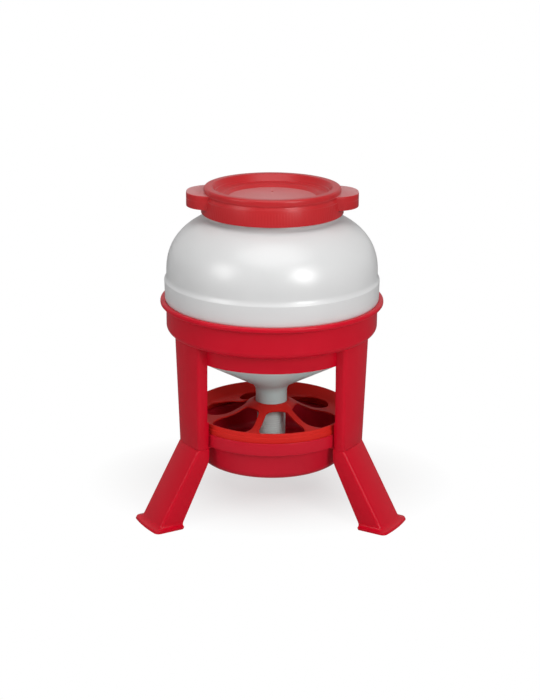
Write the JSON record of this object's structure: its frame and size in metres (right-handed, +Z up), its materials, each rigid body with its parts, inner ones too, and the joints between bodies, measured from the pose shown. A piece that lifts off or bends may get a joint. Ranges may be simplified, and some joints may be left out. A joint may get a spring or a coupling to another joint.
{
  "type": "poultry feeder",
  "caption": "Gravity poultry feeder: a white round hopper in a red ring on splayed feet, with a feed pan, a dished grille wheel, a regulator tube and an eared screw lid.",
  "frame": {"origin": "on the floor, on the feeder's upright axis, midway between its feet", "axes": "+Z up along the feeder's axis, -Y toward the front, where the open side between two feet faces, +X to the right seen from the front"},
  "size_m": [0.5158, 0.4869, 0.6245],
  "materials": {
    "red_polypropylene": "satin moulded",
    "grille_red_polypropylene": "satin moulded",
    "lid_red_polypropylene": "satin moulded",
    "white_polyethylene": "smooth blow-moulded",
    "grey_white_polypropylene": "satin moulded"
  },
  "bodies": {
    "stand": {"holder": "red_polypropylene", "foot_left": "red_polypropylene", "foot_right": "red_polypropylene", "foot_rear": "red_polypropylene", "pan": "red_polypropylene"},
    "hopper": {"hopper": "white_polyethylene"},
    "lid": {"lid": "lid_red_polypropylene"},
    "regulator": {"regulator_tube": "grey_white_polypropylene"},
    "grille": {"grille": "grille_red_polypropylene"}
  },
  "joints": [
    {"name": "hopper_lift", "type": "slide", "parent": "stand", "child": "hopper", "axis": [0, 0, 1], "range_m": [0, 0.3]},
    {"name": "lid_turn", "type": "hinge", "parent": "hopper", "child": "lid", "pos_m": [0, 0, 0.6], "axis": [0, 0, 1], "range_deg": [0, 90]},
    {"name": "regulator_travel", "type": "slide", "parent": "hopper", "child": "regulator", "axis": [0, 0, 1], "range_m": [-0.012, 0.015]},
    {"name": "grille_lift", "type": "slide", "parent": "stand", "child": "grille", "axis": [0, 0, 1], "range_m": [0, 0.02]}
  ]
}
